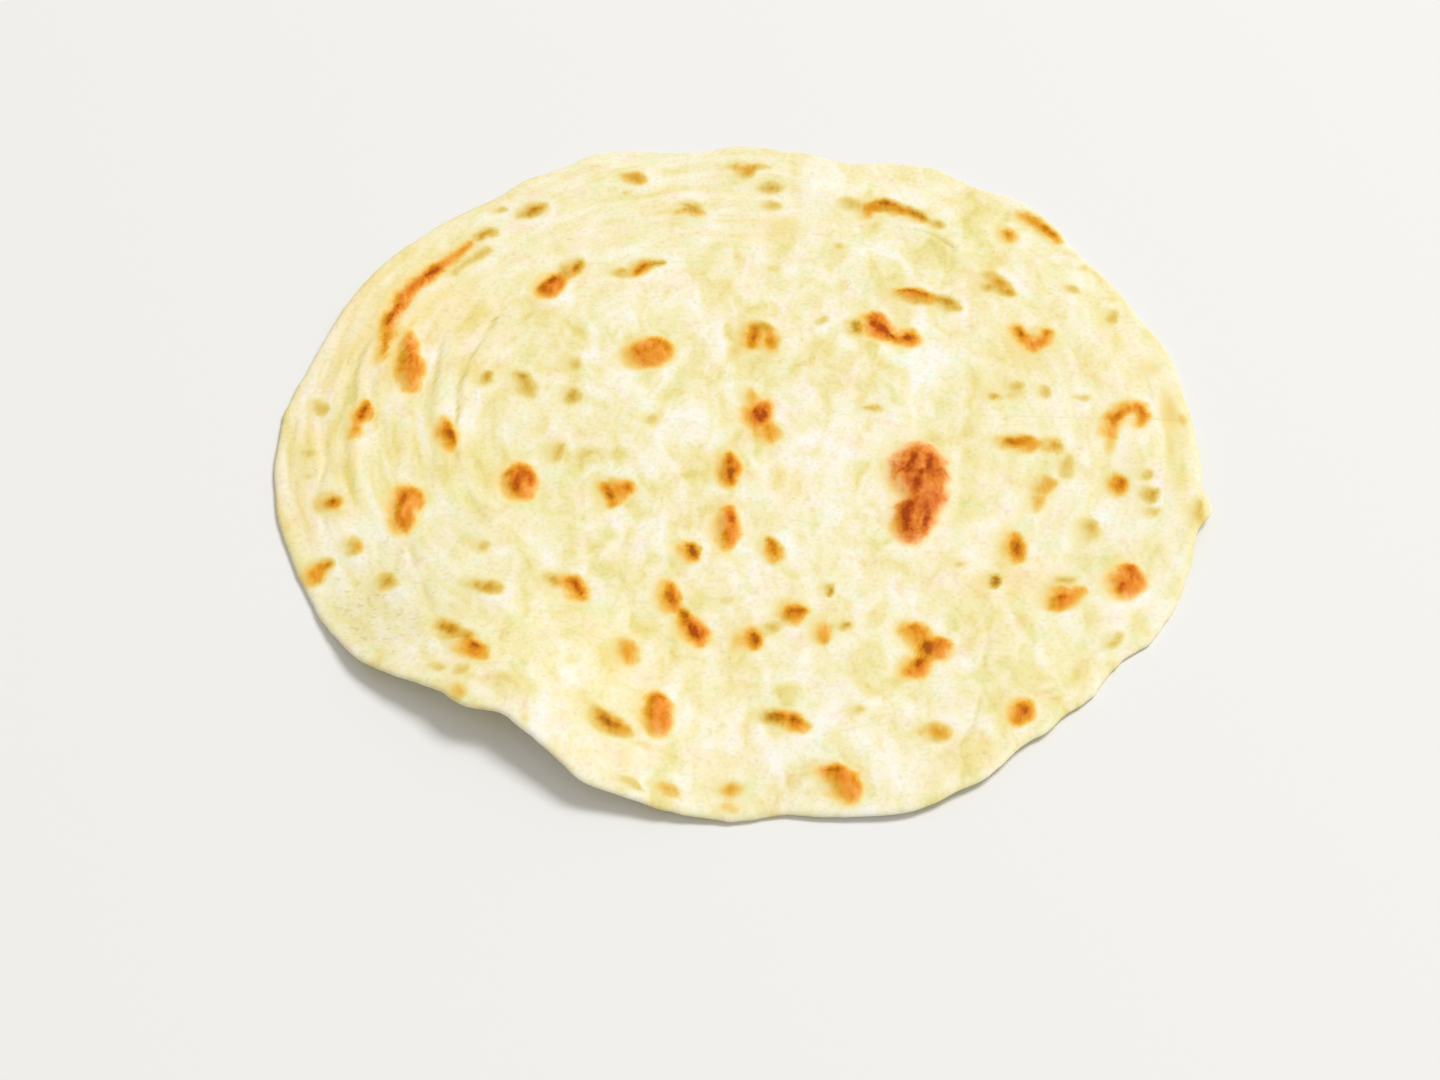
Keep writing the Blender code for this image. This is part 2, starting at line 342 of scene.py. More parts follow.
# toasted marks: x, y, length, width in mm, turn of the long side, how browned, how red
marks = (
    (49.2, -8.8, 21.4, 15.4, 88, 0.68, 1.4), (47.8, -25.6, 18, 10.8, 78, 0.72, 1.4), (50.6, -17.0, 16, 11.6, 95, 0.64, 1.5),
    (-60.8, -14.5, 13.4, 9.0, 97, 0.66, 0.75), (-91.3, -22.6, 11, 9.0, 90, 0.56, 0.55), (-91.4, -28.4, 12.5, 6.2, 92, 0.58, 0.6), (-26.5, 36.2, 14.6, 11.2, 24, 0.58, 0.45),
    (2.9, 43.8, 11, 5.6, 84, 0.54, 0.35), (7.8, 43.0, 11.4, 5.4, 102, 0.42, 0.3), (5.6, 47.2, 6, 3.6, -20, 0.48, 0.1), (5.2, 12.8, 12, 7.0, 75, 0.68, 0.9), (7.2, 5.8, 10, 5.6, 100, 0.52, 0.3),
    (3.0, 19.5, 5.6, 3.2, 100, 0.42, 0.25), (-2.9, -8.6, 13, 6.0, 90, 0.70, 0.5), (-3.2, -30.4, 17, 6.2, 91, 0.66, 0.8),
    (-13.6, -39.6, 8, 3.8, 112, 0.74, 0.4), (9.0, -38.2, 8.5, 3.4, 103, 0.72, 0.3), (-36.2, -17.8, 8.4, 3.2, 116, 0.72, 0.4),
    (-32.0, -16.6, 5.6, 4.4, 40, 0.70, 0.5), (-34.5, -21.0, 4, 3, 20, 0.60, 0.4), (-33.6, -17.4, 7.5, 5.5, 110, 0.52, 0.35), (-82.0, 2.6, 12.5, 5.2, 103, 0.62, 0.5),
    (-106.4, 9.8, 10.4, 4.0, 76, 0.74, 0.5), (-108.1, 3.4, 6.6, 3.4, 82, 0.56, 0.3), (-95.4, 36.0, 16, 5.0, 97, 0.62, 0.7),
    (-94.4, 27.4, 17, 7.4, 99, 0.60, 0.55), (-63.2, 96.8, 8.2, 4.2, 34, 0.66, 0.1), (-73.0, 97.3, 2.4, 2, 0, 0.40, 0.0),
    (-56.2, 63.7, 11, 7.4, 57, 0.68, 0.7), (-50.0, 71.0, 9.6, 4.6, 60, 0.58, 0.15), (-30.4, 71.8, 9, 4.4, 48, 0.66, 0.3), (-26.4, 74.2, 7, 2.6, 12, 0.62, 0.0),
    (-36.0, 70.3, 4, 2.6, 30, 0.42, 0.1), (-33.0, 111.8, 7, 4.8, -20, 0.58, 0.2), (-35.3, 105.0, 3.5, 2, 0, 0.34, 0.0),
    (0.8, 117.2, 9, 3.2, 0, 0.50, 0.15), (1.3, 115.2, 4.6, 4.4, 90, 0.64, 0.15), (6.7, 117.6, 4.2, 1.8, 0, 0.32, 0.1),
    (9.2, 107.7, 6, 3.6, 0, 0.56, 0.0), (9.2, 100.0, 4.6, 2.8, 0, 0.38, 0.0), (-15.3, 98.6, 6, 3.4, 0, 0.58, 0.0),
    (33.0, 100.9, 5, 3.8, 0, 0.42, 0.0), (52.8, 96.6, 6.8, 3.4, -38, 0.66, 0.15), (59.0, 92.9, 3, 2.4, 0, 0.42, 0.0),
    (80.0, 89.3, 6.4, 4.2, 100, 0.60, 0.3), (76.0, 67.0, 11.4, 4.8, -50, 0.52, 0.15), (72.8, 66.4, 4.4, 3.0, 70, 0.48, 0.1), (97.3, 65.8, 4.4, 1.8, -25, 0.36, 0.0),
    (108.4, 54.8, 5.2, 2.8, 85, 0.46, 0.0), (108.8, 62.8, 3.2, 2.2, 0, 0.26, 0.0), (101.5, 75.3, 3, 2, -30, 0.30, 0.1),
    (50.6, 61.6, 13.6, 5.0, -14, 0.66, 0.3), (60.0, 58.5, 8.4, 4.2, -30, 0.56, 0.1), (33.4, 48.2, 5.6, 3.2, 95, 0.80, 0.0),
    (39.4, 49.0, 11.6, 7.4, 112, 0.74, 1.0), (43.4, 44.0, 7, 3.0, -45, 0.74, 0.8), (47.6, 44.0, 8, 6.6, 0, 0.66, 0.6),
    (78.5, 24.2, 3.6, 3.2, 0, 0.46, 0.0), (77.9, 21.6, 8, 2.8, 10, 0.30, 0.0), (71.8, 20.6, 2.4, 2.2, 0, 0.62, 0.0),
    (86.4, 23.0, 4, 2.4, 90, 0.38, 0.0), (97.2, 20.6, 4.4, 2.2, 10, 0.32, 0.0), (78.4, 2.6, 11.4, 5.4, -4, 0.58, 0.3),
    (87.4, 2.2, 5, 4.0, 60, 0.54, 0.15), (91.0, -5.0, 9, 2.9, 85, 0.40, 0.0), (84.2, -13.2, 7.4, 4.4, 62, 0.58, 0.2),
    (82.2, -19.0, 7, 2.8, 75, 0.38, 0.2), (112.6, -9.2, 2.8, 2.6, 0, 0.40, 0.0), (113.1, -16.6, 4.8, 3.6, 80, 0.60, 0.0),
    (112.6, -23.6, 3.2, 2.8, 0, 0.36, 0.0), (104.6, -12.4, 8, 4.8, 92, 0.62, 0.35), (125.6, -23.6, 9.5, 2.6, 80, 0.42, 0.1),
    (95.3, -29.4, 7.4, 4.0, 85, 0.40, 0.0), (62.0, -25.0, 4.5, 3.5, 0, 0.22, 0.0), (74.6, -36.0, 11, 5.4, 90, 0.64, 0.35),
    (59.5, -41.7, 1.8, 1.8, 0, 0.40, 0.0), (103.8, -47.6, 11.6, 9.2, 65, 0.66, 1.0), (68.0, -47.8, 4.8, 2.0, 62, 0.70, 0.0),
    (86.2, -53.8, 9, 7.0, 20, 0.56, 0.45), (90.0, -51.8, 5, 3.2, 10, 0.58, 0.4), (87.5, -47.6, 4.5, 2.4, 0, 0.42, 0.0),
    (-113.6, -49.0, 8, 5.4, 75, 0.60, 0.35), (-111.2, -46.4, 5, 2.8, 45, 0.60, 0.2), (-94.0, -52.0, 5, 4.0, 80, 0.72, 0.0), (-66.2, -53.6, 5.8, 4.2, -10, 0.66, 0.1),
    (-70.6, -52.6, 4.8, 3.6, 0, 0.46, 0.0), (-49.2, -50.4, 3.8, 3.4, -30, 0.70, 0.05), (-43.9, -52.9, 10, 5.2, -55, 0.70, 0.5),
    (-76.2, -70.2, 9.0, 5.4, -52, 0.64, 0.15), (-71.0, -73.7, 4.4, 3.6, -40, 0.60, 0.15), (-68.8, -79.2, 10.4, 5.8, -44, 0.62, 0.35),
    (-77.7, -85.5, 3.2, 2, 0, 0.36, 0.0), (-71.2, -87.0, 3.4, 3.0, 0, 0.36, 0.0), (-71.6, -94.7, 4, 3.6, 100, 0.44, 0.2),
    (-53.8, -102.9, 3, 2, 90, 0.28, 0.0), (-29.0, -75.8, 9.4, 5.8, 97, 0.46, 0.25), (-32.4, -101.4, 12, 6.0, -30, 0.64, 0.15),
    (-20.4, -96.8, 14.2, 7.4, 93, 0.62, 0.75), (-17.6, -119.8, 6, 2.6, -20, 0.44, 0.2), (-26.9, -119.4, 6, 1.6, -25, 0.38, 0.0),
    (-18.2, -55.8, 11.2, 4.6, 100, 0.70, 0.55), (-14.6, -61.6, 5, 2.4, 115, 0.84, 0.3), (-12.0, -66.8, 12, 5.8, 117, 0.78, 0.7),
    (3.8, -69.8, 6.6, 5.0, 95, 0.68, 0.4), (8.9, -66.0, 3, 2.6, 0, 0.50, 0.0), (14.5, -60.5, 7.0, 6.4, 75, 0.72, 0.4),
    (22.6, -67.2, 6.8, 3.8, 92, 0.56, 0.3), (28.2, -64.3, 2.6, 2, 0, 0.62, 0.0), (24.0, -52.3, 2.6, 1.6, 95, 0.80, 0.0),
    (-3.0, -56.2, 3.2, 2.8, 0, 0.30, 0.0), (12.2, -95.8, 10, 3.6, -12, 0.68, 0.3), (14.8, -97.0, 6, 4.2, -40, 0.70, 0.45), (8.2, -95.2, 3.6, 2.6, 0, 0.64, 0.0), (27.0, -116.4, 12.4, 7.6, -60, 0.62, 0.55), (24.4, -113.0, 8, 4.4, -10, 0.62, 0.4),
    (-1.5, -118.6, 5.4, 3.6, 0, 0.48, 0.2), (-1.6, -124.0, 5, 2.6, 0, 0.36, 0.2), (31.5, -92.6, 3.4, 2, 0, 0.34, 0.0),
    (46.4, -66.8, 8, 6.0, -50, 0.62, 0.4), (49.0, -71.2, 7, 5.4, -60, 0.76, 0.6), (52.2, -71.6, 8, 6.4, -75, 0.66, 0.9),
    (46.5, -78.0, 8.6, 5.8, 50, 0.76, 0.45), (73.1, -92.5, 8.6, 4.8, 58, 0.74, 0.5), (51.0, -99.9, 6.8, 4.8, 0, 0.46, 0.2),
    (99.5, -67.8, 5.4, 2, 45, 0.40, 0.0), (82.0, -78.5, 7, 5, 0, 0.20, 0.0), (-72.2, 24.4, 4.6, 2.4, 75, 0.58, 0.0),
    (-63.0, 26.0, 4.2, 3.0, -60, 0.60, 0.0), (-61.2, 22.2, 8.6, 4.0, -58, 0.52, 0.05), (-47.8, 31.4, 5.2, 3.4, 90, 0.42, 0.0),
    (-47.5, 18.5, 5.8, 3.2, 85, 0.68, 0.0), (-50.6, -3.2, 6, 3.4, 78, 0.44, 0.0), (-24.7, 9.4, 3, 2.4, 20, 0.42, 0.0),
    (37.4, 15.7, 4, 2.6, 0, 0.52, 0.0), (-119.9, -5.4, 3, 2.6, 0, 0.36, 0.0), (-118.4, 12.6, 4.8, 2.6, 110, 0.52, 0.0),
    (-119.6, -13.8, 2.6, 2.2, 0, 0.30, 0.0), (-112.0, -24.0, 6, 5.4, -30, 0.72, 0.25), (-103.7, -39.4, 5.4, 3.2, 100, 0.54, 0.15),
    (-69.0, -38.4, 3, 2.6, 0, 0.42, 0.0), (23.4, 51.4, 3, 2.4, 40, 0.34, 0.0), (9.6, 72.7, 3.4, 2.6, -30, 0.32, 0.0),
    (29.0, 82.8, 2.2, 2, 0, 0.34, 0.0),
)

# golden glow beside some of the marks: x, y, length, width, turn, strength
glows = (
    (49.0, -14.0, 46, 21, 93, 0.14), (-34.0, -13.0, 6, 3, 20, 0.14), (-1.5, 38.2, 9, 5, 75, 0.34), (1.2, 14.0, 8, 4, 90, 0.26),
    (-95.6, -25.0, 14, 4, 92, 0.24), (-65.4, -15.0, 9, 3, 95, 0.26), (-32.5, 34.6, 6, 6, 0, 0.24), (-98.8, 29.0, 14, 4, 95, 0.42),
    (-5.6, -10.5, 9, 3, 90, 0.24), (-6.0, -35.0, 8, 3, 95, 0.24), (-16.3, -41.5, 6, 3, 110, 0.22), (6.6, -38.5, 6, 3, 100, 0.20),
    (-84.0, 4.0, 8, 2.4, 105, 0.30), (-109.5, 3.0, 6, 3, 85, 0.26), (-36.6, 113.0, 4, 3.5, 0, 0.30), (-2.6, 117.5, 4, 3, 0, 0.28),
    (56.5, 94.0, 6, 3, -35, 0.32), (73.6, 74.6, 8, 3.5, 85, 0.28), (84.6, 45.0, 4, 4, 0, 0.30), (30.8, 50.0, 4, 3, 90, 0.28),
    (45.0, 41.0, 7, 3, -20, 0.26), (121.3, 15.0, 20, 6, 90, 0.32), (124.5, 13.0, 6, 3, 90, 0.40), (120.2, 1.0, 15, 4, 85, 0.26),
    (117.3, 33.5, 8, 7, 0, 0.24), (102.4, -12.5, 6, 2.6, 90, 0.30), (99.6, -47.0, 7, 4, 90, 0.32), (83.4, -50.5, 6, 5, 60, 0.28),
    (83.5, -56.5, 6, 3, 0, 0.26), (71.0, -36.0, 7, 2.6, 90, 0.22), (-20.8, -57.0, 8, 3, 98, 0.30), (-8.6, -68.5, 6, 3, 110, 0.30),
    (-0.8, -71.2, 10, 4.4, 85, 0.32), (15.0, -63.8, 4, 3, 90, 0.26), (43.6, -80.6, 5, 3.5, 30, 0.32), (42.6, -66.0, 5, 4, 90, 0.28),
    (71.0, -96.2, 5, 3.5, 60, 0.30), (46.6, -100.0, 5, 3, 0, 0.26), (-78.8, -66.0, 5, 4, -40, 0.26), (-36.5, -97.5, 12, 5, -35, 0.28),
    (-24.6, -97.0, 10, 3, 95, 0.22), (22.0, -115.0, 6, 5, -50, 0.26), (-108.3, -27.5, 4, 3, 0, 0.22), (103.4, 3.5, 12, 3.6, 80, 0.34),
    (-58.5, -20.5, 5, 4, 0, 0.26), (62.5, 56.8, 5, 3, 0, 0.26), (78.0, -0.5, 9, 3, 0, 0.22), (73.0, 2.0, 4, 4, 0, 0.22),
    (-45.5, -57.0, 6, 3, -55, 0.26), (-51.5, -49.0, 4, 3, 0, 0.24), (-68.0, -82.0, 7, 3, -30, 0.24), (10.5, 5.0, 7, 3, 110, 0.24),
)

# toasted streaks along the folds: points, widths, how browned, how red
streaks = (
    (((-75, 86.7), (-78.5, 84.3)), (2.8, 2.0), 0.66, 0.1),
    (((-81, 81.3), (-84, 77.6), (-87, 74.2), (-90, 70.4)), (2.0, 2.4, 2.8, 3.6), 0.64, 0.5),
    (((-90, 70.4), (-92.8, 67.2), (-96, 63.0), (-98.3, 58.8), (-100, 53.5), (-101.8, 48)), (3.8, 4.4, 4.4, 4.4, 4.0, 3.8), 0.74, 0.8),
    (((-101.8, 48), (-102.3, 42), (-102.8, 36), (-103, 31)), (3.6, 3.0, 2.2, 1.4), 0.66, 0.5),
    (((-75.5, 78.6), (-79, 75), (-81.5, 72.5), (-85, 68)), (1.8, 2.0, 1.4, 1.0), 0.40, 0.0),
    (((37.5, 96.6), (38.2, 100.3), (41.5, 101.2), (46, 100), (49.5, 98.7)), (2.6, 4.4, 4.8, 4.4, 3.0), 0.64, 0.25),
    (((85.2, 98.2), (88, 95.9), (90.6, 93.3), (92.6, 90.6), (94.3, 87.4)), (3.2, 3.8, 3.0, 3.2, 2.2), 0.62, 0.3),
    (((80.3, 48.5), (81.5, 45), (84, 41.5), (87.5, 43.5), (88.8, 46.5)), (2.6, 3.4, 5.0, 3.6, 2.6), 0.62, 0.5),
    (((103.2, 7), (105.3, 12.4), (108, 16.2), (112.2, 17.6), (113.4, 14.5), (113.0, 11.4)), (2.2, 3.6, 4.0, 4.4, 3.8, 2.6), 0.62, 0.45),
    (((-19.5, 96.6), (-12.5, 96.9)), (1.4, 1.6), 0.50, 0.2),
)

# the darkest lines inside the marks: points, width
chars = (
    (((42.8, -3), (42.2, -12)), 1.0), (((50, -10), (48.3, -15), (47.8, -20), (45, -26), (46, -33)), 1.7),
    (((42.9, -22), (43.4, -29), (45.6, -34)), 2.4), (((46, 1.8), (50, 3), (53, 1.8)), 1.2), (((48, -3), (46.5, -10)), 1.0),
    (((45, -1.5), (44.2, -9)), 1.0), (((50.5, -27), (50.0, -31.5)), 1.0), (((52.5, -3), (51.8, -9)), 0.8),
    (((-64.2, -12.0), (-62.5, -9.6), (-59.5, -9.0)), 1.8), (((-61.5, -13), (-62.3, -18)), 0.8), (((-57.8, -11), (-57.6, -16)), 0.8),
    (((-89.7, -18.6), (-88.0, -20.7)), 1.5), (((-92.3, -20.5), (-93.2, -27), (-91.6, -32.5)), 1.2),
    (((-30, 35), (-31.5, 37.5)), 0.9), (((-26, 41.3), (-22.5, 40.8), (-21.3, 38)), 1.8), (((3.5, 47.5), (2.8, 43.5), (3.2, 40)), 2.4),
    (((6, 48.8), (9.3, 46.5)), 1.2), (((8.2, 41.8), (8.4, 40.2)), 2.2), (((6.4, 17), (7.6, 15.4), (6.6, 11.4)), 1.5),
    (((3.6, 13.5), (5.0, 10.8), (5.6, 8.6)), 0.8), (((-2.3, -10.5), (-2.3, -14)), 2.0), (((-3, -3.8), (-3, -6.5)), 1.4),
    (((-2.8, -23.7), (-2.6, -28.5)), 1.6), (((-4, -34), (-3.5, -37.3)), 1.8), (((-13.3, -38), (-12.5, -41.8)), 1.8),
    (((8.6, -35.2), (9.2, -38.5)), 1.4), (((10, -40), (10.5, -41.6)), 1.1), (((-37.8, -14.7), (-35.3, -20)), 1.3),
    (((-30.2, -15.2), (-30.1, -17.3)), 1.6), (((-82.3, 6.3), (-81.3, 2), (-80.6, -1.3)), 1.7), (((-105.9, 13.3), (-107.2, 8)), 1.9),
    (((-97.4, 33), (-97, 27)), 1.3), (((-95.6, 36), (-94.8, 29)), 0.9), (((-61, 98), (-63, 96.5)), 1.5),
    (((-59.2, 60.8), (-58.3, 64), (-55.3, 66.6)), 1.6), (((-48.4, 73), (-49.5, 70.5)), 1.1), (((-31.6, 69.6), (-28, 73.4), (-24.6, 74.5)), 1.6),
    (((38.4, 101.8), (42, 102.3), (46.5, 101.5)), 1.2), (((41, 98.4), (43.5, 98.4)), 1.0), (((51, 97.8), (54, 96)), 1.4),
    (((79.3, 91), (79.6, 89.5)), 1.6), (((91.2, 92.8), (92.4, 89.6)), 2.5), (((79, 63.7), (79.7, 62.6)), 1.4),
    (((46.3, 62.8), (50, 63.4)), 1.4), (((52, 61.9), (57, 60.3), (60, 59.2)), 1.4), (((33.5, 49.3), (33.7, 47.2)), 1.4),
    (((38.4, 49.4), (40.4, 47.2)), 2.2), (((40.8, 48), (42.6, 44.8), (44.8, 41.8)), 1.3), (((37, 52), (39, 53)), 1.2), (((49, 44.5), (47, 43.2)), 1.8), (((80.4, 48), (81, 45.5)), 1.2),
    (((87.8, 46.3), (88.9, 47.4)), 1.6), (((75.6, 3.2), (77.6, 3.0)), 3.2), (((78.5, 4.8), (81.8, 4.5)), 1.1),
    (((105.2, -10.7), (105, -14)), 1.7), (((102.6, -49.4), (101.8, -51.5)), 1.4), (((74.6, -35), (74.4, -38)), 1.8), (((102, -43.2), (105.5, -42.9)), 1.7),
    (((68.4, -47), (67.6, -48.6)), 1.3), (((84.5, -54), (87, -53.3)), 0.9), (((-110.3, -45.6), (-112.5, -46.3)), 1.3),
    (((-45.3, -50.8), (-42.9, -52.5), (-42.6, -55)), 1.9), (((-76, -70.5), (-74.8, -71.8)), 1.9), (((-69, -77.5), (-67, -78.3)), 1.7),
    (((-35.5, -101), (-31, -102.3)), 1.7), (((-22.8, -92.0), (-22.6, -98)), 2.2), (((-20.6, -91), (-19.3, -90.8)), 1.6),
    (((-19, -52.8), (-18.3, -56.7)), 2.1), (((-14.3, -61.2), (-13.5, -64.5), (-11.2, -69.3)), 2.2), (((4, -68.7), (4.5, -71)), 2.2),
    (((13.6, -59.4), (16, -60)), 2.4), (((8.7, -95.3), (11.5, -96)), 1.5), (((14, -96.3), (17, -97.5)), 1.5),
    (((22.8, -112.6), (25.5, -112.2)), 1.7), (((29.6, -114), (30, -117)), 1.1), (((45.2, -64.6), (47, -64)), 1.5),
    (((51.3, -68), (53.6, -68.2), (55, -70.8)), 1.4), (((50, -70), (48, -74), (46.5, -77.5)), 2.2), (((72.6, -91), (73.9, -92.4)), 2.1),
    (((-90.6, 71.2), (-90.4, 69), (-93, 66.7)), 1.5), (((-99.8, 57), (-101, 51), (-102.3, 46)), 1.4), (((-102.9, 41), (-103, 34)), 1.0),
    (((105, 11.5), (107, 14.7)), 1.5), (((113.8, 16.8), (114.3, 14.3)), 1.5), (((-111.8, -23), (-110.6, -24.3)), 2.0),
)

# broad zones of the dough: x, y, radius in mm, warmth, paleness
zones = (
    # golden stretches: left, along the far side, right and in front
    (-108, 45, 34, 1.0, 0.4), (-80, 56, 16, 0.7, 0), (-95, 78, 16, 0.5, 0.2), (-122, -2, 22, 0.7, 0), (-122, -28, 16, 0.6, 0),
    (-24, 99, 12, 0.7, 0), (10, 90, 14, 0.7, 0.5), (-4, 66, 14, 0.3, 0.2), (38, 80, 14, 0.1, 0.4), (70, 62, 12, 0.4, 0), (76, 79, 13, 0.3, -1.4),
    (80, 44, 15, 0.7, -1.5), (109, 40, 13, 0.5, 0.9), (-28, -80, 16, 0.8, 0), (-28, -112, 12, 0.6, 0.8), (-8, -106, 15, 0.5, 2.4),
    (14, -15, 14, 0.7, -0.2), (13, 42, 15, 0.4, -1.2), (72, -4, 16, 0.5, -0.2), (70, -48, 16, 0.7, -0.2), (70, 26, 12, 0.5, -0.4),
    (80, -44, 12, 0.4, -0.4), (66, -106, 12, 0.6, 0.2), (41, -103, 14, 0.1, 1.4), (-14, -58, 12, 0.5, -0.3), (-76, -12, 19, 0.1, -1.2), (-105, -17, 13, 0.1, -1.4), (-75, 28, 9, 0.7, -1.2), (-49, 11, 14, 0.2, 0.6),
    # paler ones, and painted shade that greys the dough at the left in front
    (46, 22, 17, 0, 2.1), (52, 35, 12, 0, 2.0), (28, 50, 12, 0, 1.0), (49, 52, 13, 0, 1.5), (40, 10, 13, 0, 1.7), (108, 12, 12, 0, 0.8), (56, -20, 14, -0.1, -0.2), (32, -30, 12, 0, 0.5),
    (-50, -106, 16, 0, 1.8), (-34, 112, 10, 0, 0.8), (22, 112, 16, 0, 1.5), (-28, 75, 15, -0.1, 1.7), (-51, 80, 12, 0, 1.1), (-74, 80, 12, 0, 0.2),
    (-20, 20, 16, 0, -0.1), (17, 17, 13, 0, 1.5), (-46, 44, 13, 0.1, -1.3), (20, -104, 12, 0, 1.9), (-22, -36, 12, 0, 0.5), (85, 84, 12, 0, 0.4), (-56, -62, 14, -0.2, 0.5),
    (-90, -61, 33, -1.1, 0.5), (-74, -30, 22, -0.5, -0.8), (-73, -48, 14, 0.3, 1.3), (-45, -14, 18, -0.3, -2.2), (-103, 0, 16, 0.3, -1.0), (-104, -36, 14, -0.4, 0.7),
    (14, -92, 12, -0.3, -0.7), (34, -8, 8, -0.4, -1.0), (-47, 108, 11, 0, 0.4), (49, 107, 12, 0, 0.9), (107, -18, 13, 0, 1.2), (60, -68, 14, 0.1, -0.5), (112, 48, 9, -0.2, -0.1),
)


def coilPlace(x, y):
    # distance from the middle of the coil, and the angle there
    across = x - coil["middle"][0]
    along = y - coil["middle"][1]
    return np.hypot(across, along), np.degrees(np.arctan2(along, across)) % 360


def foldRelief(x, y):
    out, angle = coilPlace(x, y)
    total = 0
    for radius, at, spread, drop in folds:
        swell = ease((out - radius + coil["swell"]) / coil["swell"])
        beyond = ease((out - radius) / coil["drop"])
        total = total + drop * hump(turnBetween(angle, at) / spread) * (swell - beyond)
    return total


def furrowDepth(x, y):
    wx = x + 0.7 * grain(x, y, 9, 5)
    total = np.zeros(x.shape)
    for points, width, depth in furrows:
        gap = lineDistance(wx, y, points, (0.0,) * len(points))
        total = np.maximum(total, depth * np.exp(-((gap / (0.62 * width)) ** 2)))
    return total * (0.75 + 0.35 * grain(x, y, 6, 6))


def ovalDistance(x, y, atX, atY, length, width, turn):
    # mm outside the oval's edge, less than 0 inside
    c, s = math.cos(math.radians(turn)), math.sin(math.radians(turn))
    along = (x - atX) * c + (y - atY) * s
    across = (y - atY) * c - (x - atX) * s
    size = np.hypot(along / (length / 2), across / (width / 2)) + 1e-6
    outside = np.hypot(along, across) * (1 - 1 / size)
    inside = (size - 1) * min(length, width) / 2
    return np.where(size > 1, outside, inside)


def lineDistance(x, y, points, widths):
    best = np.full(x.shape, 99.0)
    for (ax, ay), (bx, by), widthA, widthB in zip(points, points[1:], widths, widths[1:]):
        run = (bx - ax) ** 2 + (by - ay) ** 2
        t = np.clip(((x - ax) * (bx - ax) + (y - ay) * (by - ay)) / run, 0, 1)
        gap = np.hypot(x - ax - t * (bx - ax), y - ay - t * (by - ay)) - (widthA + t * (widthB - widthA)) / 2
        best = np.minimum(best, gap)
    return best


def toastFields(x, y, ovals, lines):
    # distance to the nearest mark, and how browned and how red that mark is
    wanderX = 0.7 * grain(x, y, 4.5, 21) + 0.6 * grain(x, y, 2.4, 22)
    wanderY = 0.7 * grain(x, y, 4.5, 23) + 0.6 * grain(x, y, 2.4, 24)
    wx, wy = x + wanderX, y + wanderY + 0.3
    nearest = np.full(x.shape, 99.0)
    core = np.full(x.shape, 99.0)
    total = np.zeros((4,) + x.shape)

    def addMark(gap, movedGap, width, tone, warm):
        # small marks have crisper edges
        crisp = 1 / min(max(0.5 * width, 1.1), 2.1)
        share = np.exp(-np.clip(gap, -3, 12) / 0.7)
        np.minimum(nearest, gap, out=nearest)
        np.minimum(core, np.maximum(gap, movedGap), out=core)
        total[:] += np.stack([share, share * tone, share * warm, share * crisp])

    # the left side of each mark stays golden, so its core is what it shares with the same mark moved right
    for atX, atY, length, width, turn, tone, warm in ovals:
        moved = 0.5 + 0.18 * width
        gap = ovalDistance(wx, wy, atX, atY, length, width, turn)
        addMark(gap, ovalDistance(wx - moved, wy, atX, atY, length, width, turn), width, tone, warm)
    for points, widths, tone, warm in lines:
        gap = lineDistance(wx, wy, points, widths)
        addMark(gap, lineDistance(wx - 1.0, wy, points, widths), max(widths), tone, warm)
    return nearest, core, *(total[1:] / total[0])


def markDistance(x, y):
    best = np.full(x.shape, 99.0)
    for atX, atY, length, width, turn, tone, warm in marks:
        best = np.minimum(best, ovalDistance(x, y, atX, atY, length, width, turn))
    for points, widths, tone, warm in streaks:
        best = np.minimum(best, lineDistance(x, y, points, widths))
    return best


def glowField(x, y):
    total = np.zeros(x.shape)
    for atX, atY, length, width, turn, strength in glows:
        gap = ovalDistance(x, y, atX, atY, length, width, turn)
        total = np.maximum(total, strength * ease(0.5 - gap / min(length, width)))
    return total


def zoneFields(x, y):
    warmth = np.zeros(x.shape)
    pale = np.zeros(x.shape)
    for atX, atY, radius, warm, light in zones:
        near = hump(np.hypot(x - atX, y - atY) / (radius * 1.3))
        warmth += warm * near
        pale += light * near
    return warmth, pale


def underMarks():
    # the side that lies down was toasted too
    draw = np.random.default_rng(7)
    ovals = []
    for number in range(95):
        out = 122 * math.sqrt(draw.random())
        at = draw.uniform(0, 2 * math.pi)
        length = draw.choice((3, 5, 8, 12, 16), p=(0.3, 0.3, 0.2, 0.14, 0.06)) * draw.uniform(0.8, 1.25)
        width = length * draw.uniform(0.4, 0.9)
        tone = draw.uniform(0.35, 0.9)
        place = (out * math.cos(at), out * math.sin(at))
        ovals.append((*place, length, width, draw.uniform(0, 180), tone, draw.uniform(0, 0.8)))
    return ovals


